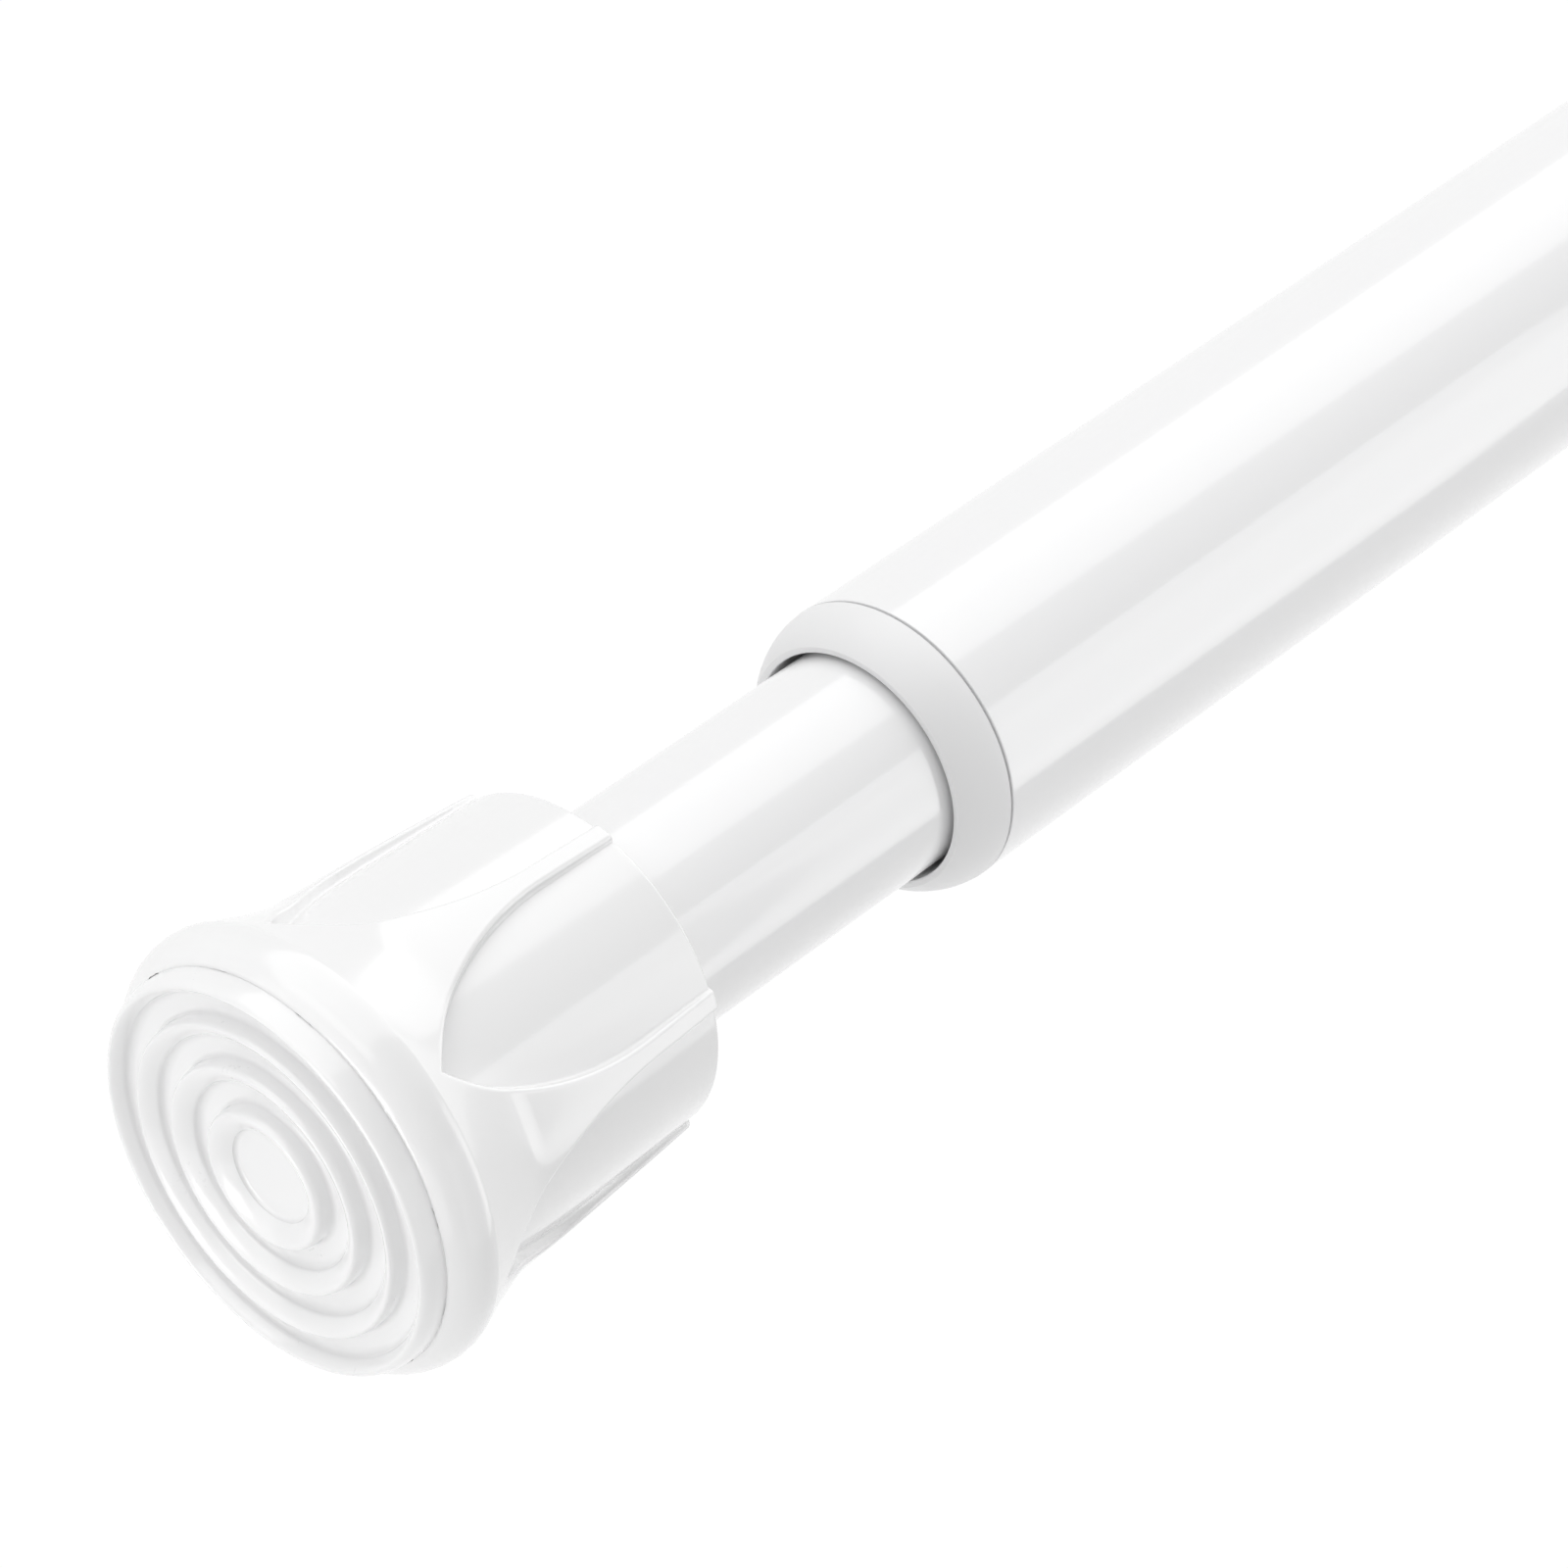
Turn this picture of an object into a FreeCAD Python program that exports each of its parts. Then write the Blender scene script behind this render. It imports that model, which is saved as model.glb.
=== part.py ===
"""Spring tension rod: two telescoping tubes between two padded feet.

A compression spring in the inner tube presses a lock spindle towards the outer tube. An eccentric
journal on that spindle carries a cam ring, which jams in the outer tube when the tubes are twisted.

Millimetres. The rod lies along +X and +Z is up. The origin is on the axis, in the plane where the
crests of the first foot's pad meet the wall.
"""
import FreeCAD
import Part
import math
import os
from FreeCAD import Vector

# Fits, radial unless said otherwise
SEAT_FIT = 0.05          # a piece that is pushed home and stays there
SLIDE_FIT = 0.08         # a piece that slides or turns
END_FIT = 0.1            # end float beside a piece that turns
STOP_FIT = 0.05          # axial gap between two pieces that meet at a stop

# Tubes, from the outside inwards
OUTER_TUBE_R = 12.7
OUTER_TUBE_WALL = 0.7
NEST_GAP = 2.2           # between the outer tube's bore and the inner tube
INNER_TUBE_WALL = 0.7
CRIMP_DEPTH = 0.5
CRIMP_FLAT = 1.0
CRIMP_FLANK = 1.0
CRIMP_SEED = 0.1         # how much wider the groove under a crimp is, on each side

# Lengths along the rod
EXPOSED = 32.0           # bare inner tube between the first cap and the collar
EXTENSION = 200.0        # pull-out travel, from rest to the stop
EXTENSION_GAP = 0.5      # left between collar and bush flange at full travel
PRESS_TRAVEL = 25.0      # travel of the spindle against the spring
PRESS_GAP = 1.5
TAIL_ROOM = 52.9         # clear bore between the lock and the far pad's stem

# End cap, one moulding used at both ends
PAD_PROUD = 2.1          # pad crests over the cap's lip
CAP_LENGTH = 31.6        # lip to open end
RECESS_DEPTH = 2.0
CAP_FLOOR = 2.2
CAP_END_WALL = 2.45      # wall at the open end, round the socket
SHOULDER_RISE = 1.23     # how much the neck's foot stands over the open end, in radius
SHOULDER_RUN = 11.6      # lip to neck's foot
SPANDREL_CROWN = 0.115   # how much the tapered body bows out
NECK_FOOT_RUN = 2.1
NECK_FOOT_RISE = 0.31
NECK_FOOT_SAG = 0.09
RIM_FLARE = 3.6          # rim over the open end, in radius
RIM_ARC_R = 3.3
RIM_CREASE_RUN = 1.1     # widest point of the rim to the crease where the neck starts
LIP_WALL = 1.85          # rim's widest radius to the pad's recess
STEM_HOLE_WALL = 9.65    # socket radius to the radius of the hole for the pad's stem

# Gothic panels round the cap
PANEL_COUNT = 6
PANEL_PHASE_DEG = 42.5   # the first panel's centre, turned from +Z about +X
PANEL_HALF_DEG = 26.8
PANEL_TIP_RUN = 5.3      # lip to the arch's point
PANEL_SPRING_RUN = 24.2  # lip to where the arch springs from straight sides
PANEL_FLOOR_WALL = 1.97  # socket to the panel's floor, at the open end
PANEL_DRAFT = 0.032      # rise of the panel's floor per millimetre towards the rim
PANEL_EDGE = 0.3
CAP_SEAM_DEG = 12.5      # puts the cap's parting line on a rib

# Foot pad with concentric beads
BEAD_COUNT = 4
PAD_DISC_R = 3.95
PAD_DISC_SINK = 1.36     # crests to the centre disc
PAD_FLOOR_SINK = 1.75    # crests to the floors between beads
BEAD_STEP_SINK = 1.02    # crests to the top of a bead's inner step
BEAD_FIRST_WIDTH = 2.25
BEAD_TAPER = 0.18        # each bead is this much narrower than the one inside it
CREST_WIDTH = 0.35
CREST_SETBACK = 0.55     # crest to the bead's outer edge
BEAD_DRAFT = 0.07
PAD_BARB_LENGTH = 2.8
PAD_BARB_WIDTH = 0.8
PAD_BARB_NOSE = 1.0
PAD_BARB_GAP = 0.1

# Reducer sleeve between the wide socket and the thin tube
SLEEVE_SKIN = 0.95
SLEEVE_SETBACK = 0.3
SLEEVE_WEB = 1.5
SLEEVE_RIBS = 8
SLEEVE_RIB = 1.0

# Mouth collar of the outer tube
COLLAR_NOSE = 4.34       # mouth to the seam with the tube
COLLAR_LENGTH = 20.3
COLLAR_LIP = 0.54
COLLAR_MOUTH_GAP = 0.46
COLLAR_MOUTH_RUN = 5.3
COLLAR_LEAD_IN = 1.0
COLLAR_BULGE_RUN = 1.6
COLLAR_BULGE_DROP = 0.7
SEAM_BREAK = 0.15

# Spring, its seat and its cup
SPRING_WIRE = 1.4
SPRING_GAP = 1.1         # coil to the inner tube's bore
SPRING_LENGTH = 50.0     # as fitted, at rest
SPRING_ACTIVE_TURNS = 6
SPRING_CLOSED_PITCH = 1.55
SPRING_GROUND = 0.35     # part of the wire that is ground off at each end
SPRING_POINTS_PER_TURN = 12
COIL_GUIDE_GAP = 0.3     # spigot or hub to the inside of the coil
SEAT_LENGTH = 12.0
SEAT_SPIGOT = 6.0
SEAT_SPIGOT_WALL = 1.4
WASHER_THICK = 1.0
WASHER_EDGE_GAP = 0.3
CUP_LENGTH = 9.5
CUP_HUB = 5.0
CUP_WEB = 3.5
CUP_WALL = 2.1

# Bush at the inner tube's end
BUSH_LENGTH = 17.0
BUSH_FLANGE = 1.5
BUSH_WALL = 3.0          # inner tube's bore to the bush's own bore
STEM_FLAT_CUT = 1.1      # depth of the two flats that stop the stem from turning
STEM_FIT = 0.1

# Lock head
HEAD_FLANGE = 2.0
HEAD_FLANGE_GAP = 0.6
DRAG_WIDTH = 9.8
DRAG_WALL = 4.0
DRAG_SPLIT = 1.2
DRAG_FLUTES = 3
DRAG_FLUTE_DEPTH = 0.6
DRAG_FLUTE_R = 3.0
ECCENTRICITY = 0.5
CAM_WIDTH = 12.8
CAM_GAP = 0.45           # cam ring to the tube's bore, unlocked
CAM_STEP = 1.0           # drag journal's radius less the eccentric's
CAM_SPLIT = 1.4
GRIP_WIRE_R = 1.0
GRIP_GROOVE_FIT = 0.05
RETAINER_THICK = 1.2
RETAINER_GAP = 1.5

# Screws
SCREW_R = 1.45
SCREW_HOLE_R = 1.6
SCREW_HEAD_R = 3.7
SCREW_HEAD = 2.2
SCREW_REACH = 15.0
SCREW_DRIVE_R = 1.6
SCREW_DRIVE_DEPTH = 1.2
PILOT_EXTRA = 1.0        # how much deeper the pilot hole is than the screw reaches

# Radii that follow
OUTER_BORE = OUTER_TUBE_R - OUTER_TUBE_WALL
INNER_TUBE_R = OUTER_BORE - NEST_GAP
INNER_BORE = INNER_TUBE_R - INNER_TUBE_WALL
SOCKET_R = OUTER_TUBE_R + SEAT_FIT
CAP_END_R = SOCKET_R + CAP_END_WALL
SHOULDER_R = CAP_END_R + SHOULDER_RISE
RIM_R = CAP_END_R + RIM_FLARE
RECESS_R = RIM_R - LIP_WALL
RIM_CENTRE_R = RIM_R - RIM_ARC_R
STEM_HOLE_R = SOCKET_R - STEM_HOLE_WALL
PAD_R = RECESS_R - SEAT_FIT
PAD_STEM_R = STEM_HOLE_R - SEAT_FIT
COIL_OUTER_R = INNER_BORE - SPRING_GAP
COIL_INNER_R = COIL_OUTER_R - SPRING_WIRE
COIL_MEAN_R = COIL_OUTER_R - SPRING_WIRE / 2
COIL_GUIDE_R = COIL_INNER_R - COIL_GUIDE_GAP
PLUG_R = INNER_BORE - SEAT_FIT
BUSH_BORE_R = INNER_BORE - BUSH_WALL
STEM_R = BUSH_BORE_R - STEM_FIT
STEM_FLAT = STEM_R - STEM_FLAT_CUT
DRAG_R = OUTER_BORE - SLIDE_FIT
JOURNAL_R = OUTER_BORE - DRAG_WALL
ECCENTRIC_R = JOURNAL_R - CAM_STEP
CAM_R = OUTER_BORE - CAM_GAP

# Places along the rod that follow
LIP_X = PAD_PROUD
RECESS_X = LIP_X + RECESS_DEPTH
SOCKET_X = RECESS_X + CAP_FLOOR
CAP_END_X = LIP_X + CAP_LENGTH
RIM_CENTRE_X = LIP_X + math.sqrt(RIM_ARC_R ** 2 - (RECESS_R - RIM_CENTRE_R) ** 2)
PAD_STEM_END_X = SOCKET_X + PAD_BARB_GAP + PAD_BARB_LENGTH
MOUTH_X = CAP_END_X + EXPOSED
SEAM_X = MOUTH_X + COLLAR_NOSE
COLLAR_END_X = MOUTH_X + COLLAR_LENGTH
INNER_END_X = COLLAR_END_X + EXTENSION + EXTENSION_GAP
BUSH_X = INNER_END_X - BUSH_LENGTH
BUSH_END_X = INNER_END_X + BUSH_FLANGE
CUP_FACE_X = BUSH_X - STOP_FIT
SPRING_END_X = CUP_FACE_X - CUP_LENGTH
SPRING_X = SPRING_END_X - SPRING_LENGTH
SEAT_FACE_X = SPRING_X - WASHER_THICK
SEAT_X = SEAT_FACE_X - SEAT_LENGTH
HEAD_X = BUSH_END_X + PRESS_TRAVEL + PRESS_GAP
JOURNAL_X = HEAD_X + HEAD_FLANGE
THRUST_X = JOURNAL_X + DRAG_WIDTH + 2 * END_FIT
CAM_X = THRUST_X + WASHER_THICK + END_FIT
RETAINER_X = CAM_X + CAM_WIDTH + END_FIT
LOCK_END_X = RETAINER_X + RETAINER_THICK + SCREW_HEAD
OVERALL_LENGTH = LOCK_END_X + TAIL_ROOM + PAD_STEM_END_X
OUTER_END_X = OVERALL_LENGTH - SOCKET_X

ORIGIN = Vector(0, 0, 0)
ROD_AXIS = Vector(1, 0, 0)
UP = Vector(0, 0, 1)
FULL_TURN = 360.0
HALF_TURN = 180.0


def at(x, r):
    """A point of a half profile: x along the rod, r from its axis."""
    return Vector(x, 0, r)


def line(a, b):
    """Straight profile edge between two (x, r) pairs."""
    return Part.LineSegment(at(*a), at(*b)).toShape()


def arc(a, through, b):
    """Circular profile edge between two (x, r) pairs, by way of a third."""
    return Part.Arc(at(*a), at(*through), at(*b)).toShape()


def turn(edges):
    """Solid of revolution about the rod's axis from a closed half profile."""
    return Part.Face(Part.Wire(edges)).revolve(ORIGIN, ROD_AXIS, FULL_TURN)


def turn_points(points):
    """Solid of revolution from a closed half profile of straight edges."""
    closed = points + points[:1]
    return turn([line(a, b) for a, b in zip(closed, closed[1:])])


def disc(x, length, radius, z=0.0):
    """Cylinder along the rod that starts at x."""
    return Part.makeCylinder(radius, length, Vector(x, 0, z), ROD_AXIS)


def ring(x, length, outer, inner):
    """Plain ring along the rod that starts at x."""
    return disc(x, length, outer).cut(disc(x, length, inner))


def block(x, length, y, width, z, height):
    """Box that starts at x and z and is centred on y."""
    return Part.makeBox(length, width, height, Vector(x, y - width / 2, z))


def spun(shape, degrees):
    """Copy of a shape, turned about the rod's axis."""
    copy = shape.copy()
    copy.rotate(ORIGIN, ROD_AXIS, degrees)
    return copy


def far_end(shape):
    """Copy of a first-end piece, turned round to the other end of the rod."""
    copy = shape.copy()
    copy.rotate(ORIGIN, UP, HALF_TURN)
    copy.translate(Vector(OVERALL_LENGTH, 0, 0))
    return copy


def rim_radius(x):
    """Radius of the rounded rim at a place along the rod."""
    return RIM_CENTRE_R + math.sqrt(RIM_ARC_R ** 2 - (x - RIM_CENTRE_X) ** 2)


def cap_blank():
    """Cap before its panels: round rim, flared neck, tapered body, tube socket and pad recess."""
    lip = (LIP_X, RECESS_R)
    crease_x = RIM_CENTRE_X + RIM_CREASE_RUN
    crease = (crease_x, rim_radius(crease_x))
    shoulder = (LIP_X + SHOULDER_RUN, SHOULDER_R)
    neck_foot = (shoulder[0] - NECK_FOOT_RUN, SHOULDER_R + NECK_FOOT_RISE)
    foot_middle = (shoulder[0] - NECK_FOOT_RUN / 2, SHOULDER_R + NECK_FOOT_SAG)
    end = (CAP_END_X, CAP_END_R)
    body_middle = ((shoulder[0] + end[0]) / 2, (SHOULDER_R + CAP_END_R) / 2 + SPANDREL_CROWN)
    return turn([
        arc(lip, (RIM_CENTRE_X, RIM_R), crease),
        line(crease, neck_foot),
        arc(neck_foot, foot_middle, shoulder),
        arc(shoulder, body_middle, end),
        line(end, (CAP_END_X, SOCKET_R)),
        line((CAP_END_X, SOCKET_R), (SOCKET_X, SOCKET_R)),
        line((SOCKET_X, SOCKET_R), (SOCKET_X, STEM_HOLE_R)),
        line((SOCKET_X, STEM_HOLE_R), (RECESS_X, STEM_HOLE_R)),
        line((RECESS_X, STEM_HOLE_R), (RECESS_X, RECESS_R)),
        line((RECESS_X, RECESS_R), lip),
    ])


def arch_outline(z):
    """Outline of a panel at height z over the axis: straight sides, then two arcs that meet in a point."""
    half = z * math.tan(math.radians(PANEL_HALF_DEG))
    spring_x = LIP_X + PANEL_SPRING_RUN
    tip_x = LIP_X + PANEL_TIP_RUN
    end_x = CAP_END_X + PANEL_EDGE
    radius = ((spring_x - tip_x) ** 2 + half ** 2) / (2 * half)
    middle_x = (spring_x + tip_x) / 2
    middle_y = half - radius + math.sqrt(radius ** 2 - (spring_x - middle_x) ** 2)
    tip = Vector(tip_x, 0, z)
    sides = []
    for side in (1, -1):
        foot = Vector(spring_x, side * half, z)
        end = Vector(end_x, side * half, z)
        sides.append([Part.Arc(tip, Vector(middle_x, side * middle_y, z), foot), Part.LineSegment(foot, end)])
    base = Part.LineSegment(sides[0][1].EndPoint, sides[1][1].EndPoint)
    return Part.Wire([edge.toShape() for edge in sides[0] + [base] + sides[1][::-1]])


def panel_cutter():
    """What one panel takes out: a radial arch-shaped prism outside a drafted floor."""
    prism = Part.makeLoft([arch_outline(SOCKET_R / 2), arch_outline(RIM_R + PANEL_EDGE)], True, True)
    start_x = LIP_X
    end_x = CAP_END_X + 2 * PANEL_EDGE
    end_r = SOCKET_R + PANEL_FLOOR_WALL - PANEL_DRAFT * (end_x - CAP_END_X)
    start_r = end_r + PANEL_DRAFT * (end_x - start_x)
    floor = Part.makeCone(start_r, end_r, end_x - start_x, Vector(start_x, 0, 0), ROD_AXIS)
    return prism.cut(floor)


def is_panel_wall(face):
    """Whether a face is a side wall of a panel."""
    surface = type(face.Surface).__name__
    if surface == "Plane":
        return abs(face.normalAt(0, 0).x) < 0.5
    return surface == "BSplineSurface"


def panel_edges(cap, blank):
    """Edges where a panel's walls meet the cap's outside."""
    found = []
    for edge in cap.Edges:
        middle = edge.valueAt((edge.FirstParameter + edge.LastParameter) / 2)
        walls = [is_panel_wall(face) for face in cap.ancestorsOfType(edge, Part.Face)]
        if sum(walls) != 1 or middle.x > CAP_END_X - PANEL_EDGE:
            continue
        if Part.Vertex(middle).distToShape(blank.Shells[0])[0] < 0.001:
            found.append(edge)
    return found


def end_cap():
    """Cap with its gothic panels and their broken edges."""
    blank = spun(cap_blank(), CAP_SEAM_DEG)
    cutter = panel_cutter()
    pitch = FULL_TURN / PANEL_COUNT
    cap = blank.cut([spun(cutter, PANEL_PHASE_DEG + pitch * k) for k in range(PANEL_COUNT)])
    return cap.makeChamfer(PANEL_EDGE, panel_edges(cap, blank))


def bead_points(inner_r, outer_r):
    """Profile of one bead: inner step, sloping flank, flat crest, then a broken corner and outer wall."""
    crest_out = outer_r - CREST_SETBACK
    return [
        (BEAD_STEP_SINK, inner_r),
        (0.0, crest_out - CREST_WIDTH),
        (0.0, crest_out),
        (CREST_SETBACK, outer_r - BEAD_DRAFT),
    ]


def foot_pad():
    """Soft pad with concentric beads, held in the cap by a barbed stem."""
    last_width = BEAD_FIRST_WIDTH - BEAD_TAPER * (BEAD_COUNT - 1)
    bead_pitch = (PAD_R - last_width - PAD_DISC_R) / (BEAD_COUNT - 1)
    points = [(PAD_DISC_SINK, 0), (PAD_DISC_SINK, PAD_DISC_R)]
    for k in range(BEAD_COUNT):
        inner_r = PAD_DISC_R + bead_pitch * k
        outer_r = inner_r + BEAD_FIRST_WIDTH - BEAD_TAPER * k
        if k > 0:
            points.append((PAD_FLOOR_SINK, inner_r))
        points.extend(bead_points(inner_r, outer_r))
        if k < BEAD_COUNT - 1:
            points.append((PAD_FLOOR_SINK, outer_r))
    barb_x = SOCKET_X + PAD_BARB_GAP
    points.extend([
        (RECESS_X, PAD_R),
        (RECESS_X, PAD_STEM_R),
        (barb_x, PAD_STEM_R),
        (barb_x, PAD_STEM_R + PAD_BARB_WIDTH),
        (PAD_STEM_END_X, PAD_STEM_R - PAD_BARB_NOSE),
        (PAD_STEM_END_X, 0),
    ])
    return turn_points(points)


def reducer_sleeve():
    """Cored and ribbed bush that centres the thin tube in the wide socket."""
    outer = SOCKET_R - SEAT_FIT
    bore = INNER_TUBE_R + SEAT_FIT
    end_x = CAP_END_X - SLEEVE_SETBACK
    length = end_x - SOCKET_X
    sleeve = turn_points([
        (SOCKET_X, bore),
        (SOCKET_X, bore + SLEEVE_SKIN),
        (end_x - SLEEVE_WEB, bore + SLEEVE_SKIN),
        (end_x - SLEEVE_WEB, outer - SLEEVE_SKIN),
        (SOCKET_X, outer - SLEEVE_SKIN),
        (SOCKET_X, outer),
        (end_x, outer),
        (end_x, bore),
    ])
    skin_middle = SLEEVE_SKIN / 2
    rib = block(SOCKET_X, length, 0, SLEEVE_RIB, bore + skin_middle, outer - bore - 2 * skin_middle)
    pitch = FULL_TURN / SLEEVE_RIBS
    return sleeve.fuse([spun(rib, pitch * k) for k in range(SLEEVE_RIBS)]).removeSplitter()


def crimp(x, r, depth, spare=0.0):
    """Profile points of a rolled groove about x, cut down from radius r."""
    half_flat = CRIMP_FLAT / 2 + spare
    half_width = CRIMP_FLAT / 2 + CRIMP_FLANK + spare
    return [(x - half_width, r), (x - half_flat, r - depth), (x + half_flat, r - depth), (x + half_width, r)]


def inner_tube():
    """Thin tube, rolled into the grooves of the spring seat and the end bush."""
    grooves = [(SEAT_X + SEAT_FACE_X) / 2, (BUSH_X + INNER_END_X) / 2]
    outside = [(SOCKET_X, INNER_TUBE_R)]
    inside = [(SOCKET_X, INNER_BORE)]
    for x in grooves:
        outside.extend(crimp(x, INNER_TUBE_R, CRIMP_DEPTH))
        inside.extend(crimp(x, INNER_BORE, CRIMP_DEPTH))
    outside.append((INNER_END_X, INNER_TUBE_R))
    inside.append((INNER_END_X, INNER_BORE))
    return turn_points(outside + inside[::-1])


def spring_seat():
    """Plug that the tube is crimped onto, with a spigot inside the spring."""
    bore = COIL_GUIDE_R - SEAT_SPIGOT_WALL
    groove = crimp((SEAT_X + SEAT_FACE_X) / 2, PLUG_R, CRIMP_DEPTH, CRIMP_SEED)
    tip_x = SEAT_FACE_X + SEAT_SPIGOT
    return turn_points(
        [(SEAT_X, PLUG_R)] + groove
        + [(SEAT_FACE_X, PLUG_R), (SEAT_FACE_X, COIL_GUIDE_R), (tip_x, COIL_GUIDE_R), (tip_x, bore), (SEAT_X, bore)]
    )


def seat_washer():
    """Hard washer between the spring and its seat."""
    return ring(SEAT_FACE_X, WASHER_THICK, INNER_BORE - WASHER_EDGE_GAP, COIL_GUIDE_R + SEAT_FIT)


def end_bush():
    """Bush crimped into the inner tube's end; its flange rides in the outer tube."""
    groove = crimp((BUSH_X + INNER_END_X) / 2, PLUG_R, CRIMP_DEPTH, CRIMP_SEED)
    outside = (
        [(BUSH_X, PLUG_R)] + groove
        + [(INNER_END_X, PLUG_R), (INNER_END_X, DRAG_R), (BUSH_END_X, DRAG_R), (BUSH_END_X, 0), (BUSH_X, 0)]
    )
    length = BUSH_END_X - BUSH_X
    bore = flatted(BUSH_X, length, BUSH_BORE_R, STEM_FLAT + STEM_FIT)
    return turn_points(outside).cut(bore)


def flatted(x, length, radius, flat):
    """Round bar along the rod with two flats, one on each side."""
    slab = block(x, length, 0, 2 * flat, -radius, 2 * radius)
    return disc(x, length, radius).common(slab)


def coil_place(turns, total):
    """Distance of the wire's centre from the coil's first face after so many turns."""
    closed = SPRING_CLOSED_PITCH
    first = SPRING_WIRE / 2 - SPRING_GROUND
    open_pitch = (SPRING_LENGTH - 2 * first - 2 * closed) / SPRING_ACTIVE_TURNS
    if turns <= 1:
        return first + closed * turns
    if turns >= total - 1:
        return SPRING_LENGTH - first - closed * (total - turns)
    return first + closed + open_pitch * (turns - 1)


def compression_spring():
    """Coil of square-section wire with closed ends that are ground flat."""
    total = SPRING_ACTIVE_TURNS + 2
    count = total * SPRING_POINTS_PER_TURN
    points = []
    for i in range(count + 1):
        turns = i / SPRING_POINTS_PER_TURN
        angle = 2 * math.pi * turns
        x = SPRING_X + coil_place(turns, total)
        points.append(Vector(x, COIL_MEAN_R * math.sin(angle), COIL_MEAN_R * math.cos(angle)))
    curve = Part.BSplineCurve()
    curve.interpolate(points)
    half = SPRING_WIRE / 2
    x, r = points[0].x, COIL_MEAN_R
    section = Part.makePolygon([at(x - half, r - half), at(x + half, r - half), at(x + half, r + half),
                                at(x - half, r + half), at(x - half, r - half)])
    wire = Part.Wire(curve.toShape()).makePipeShell([section], True, True)
    keep = disc(SPRING_X, SPRING_LENGTH, COIL_OUTER_R + SPRING_WIRE)
    return wire.common(keep)


def spring_cup():
    """Cup that carries the spring's force to the spindle and slides in the inner tube."""
    web_x = CUP_FACE_X - CUP_WEB
    hub_bore = COIL_GUIDE_R - CUP_WALL
    return turn_points([
        (SPRING_END_X - CUP_HUB, hub_bore),
        (SPRING_END_X - CUP_HUB, COIL_GUIDE_R),
        (SPRING_END_X, COIL_GUIDE_R),
        (SPRING_END_X, INNER_BORE - SLIDE_FIT),
        (CUP_FACE_X, INNER_BORE - SLIDE_FIT),
        (CUP_FACE_X, SCREW_HOLE_R),
        (web_x, SCREW_HOLE_R),
        (web_x, hub_bore),
    ])


def screw(seat_x, towards):
    """Pan-head screw whose head seats at seat_x and whose shank points towards +1 or -1."""
    head = disc(min(seat_x, seat_x - towards * SCREW_HEAD), SCREW_HEAD, SCREW_HEAD_R)
    shank = disc(min(seat_x, seat_x + towards * SCREW_REACH), SCREW_REACH, SCREW_R)
    top = seat_x - towards * SCREW_HEAD
    drive = disc(min(top, top + towards * SCREW_DRIVE_DEPTH), SCREW_DRIVE_DEPTH, SCREW_DRIVE_R)
    return head.fuse(shank).cut(drive).removeSplitter()


def lock_spindle():
    """Flatted stem, round drag journal and eccentric cam journal in one moulding."""
    stem = flatted(CUP_FACE_X, HEAD_X - CUP_FACE_X, STEM_R, STEM_FLAT)
    flange = disc(HEAD_X, HEAD_FLANGE, OUTER_BORE - HEAD_FLANGE_GAP)
    journal = disc(JOURNAL_X, THRUST_X - JOURNAL_X, JOURNAL_R)
    eccentric = disc(THRUST_X, RETAINER_X - THRUST_X, ECCENTRIC_R, ECCENTRICITY)
    pilot_length = SCREW_REACH + PILOT_EXTRA
    pilot_r = SCREW_R + SEAT_FIT
    rear_pilot = disc(CUP_FACE_X, pilot_length - CUP_WEB, pilot_r)
    front_pilot = disc(RETAINER_X - pilot_length + RETAINER_THICK, pilot_length - RETAINER_THICK, pilot_r)
    return stem.fuse([flange, journal, eccentric]).cut([rear_pilot, front_pilot])


def drag_ring():
    """Split ring that rubs in the outer tube and takes part in its turning."""
    bore = JOURNAL_R + SLIDE_FIT
    body = ring(JOURNAL_X + END_FIT, DRAG_WIDTH, DRAG_R, bore)
    split = block(JOURNAL_X, DRAG_WIDTH + 2 * END_FIT, 0, DRAG_SPLIT, 0, OUTER_BORE)
    flute = disc(JOURNAL_X, DRAG_WIDTH + 2 * END_FIT, DRAG_FLUTE_R, DRAG_R + DRAG_FLUTE_R - DRAG_FLUTE_DEPTH)
    pitch = FULL_TURN / DRAG_FLUTES
    flutes = [spun(flute, pitch * (k + 0.5)) for k in range(DRAG_FLUTES)]
    return body.cut([split] + flutes)


def thrust_washer():
    """Washer between the drag ring and the cam ring, slipped over the eccentric."""
    inner = ECCENTRIC_R + ECCENTRICITY + SLIDE_FIT
    return ring(THRUST_X, WASHER_THICK, OUTER_BORE - NEST_GAP / 2, inner)


def cam_ring():
    """Split cam ring on the eccentric, with a groove for its grip ring."""
    body = disc(CAM_X, CAM_WIDTH, CAM_R)
    bore = disc(CAM_X, CAM_WIDTH, ECCENTRIC_R + SLIDE_FIT, ECCENTRICITY)
    half_groove = GRIP_WIRE_R + GRIP_GROOVE_FIT
    middle = CAM_X + CAM_WIDTH / 2
    groove = ring(middle - half_groove, 2 * half_groove, OUTER_BORE, CAM_R - 2 * half_groove)
    split = block(CAM_X, CAM_WIDTH, 0, CAM_SPLIT, 0, OUTER_BORE)
    return body.cut([bore, groove, split])


def cam_grip_ring():
    """Rubber ring that holds the split cam ring closed and grips the tube."""
    middle = CAM_X + CAM_WIDTH / 2
    return ring(middle - GRIP_WIRE_R, 2 * GRIP_WIRE_R, CAM_R, CAM_R - 2 * GRIP_WIRE_R)


def retaining_washer():
    """Washer that keeps the cam ring on the eccentric."""
    return ring(RETAINER_X, RETAINER_THICK, OUTER_BORE - RETAINER_GAP, SCREW_HOLE_R)


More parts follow.
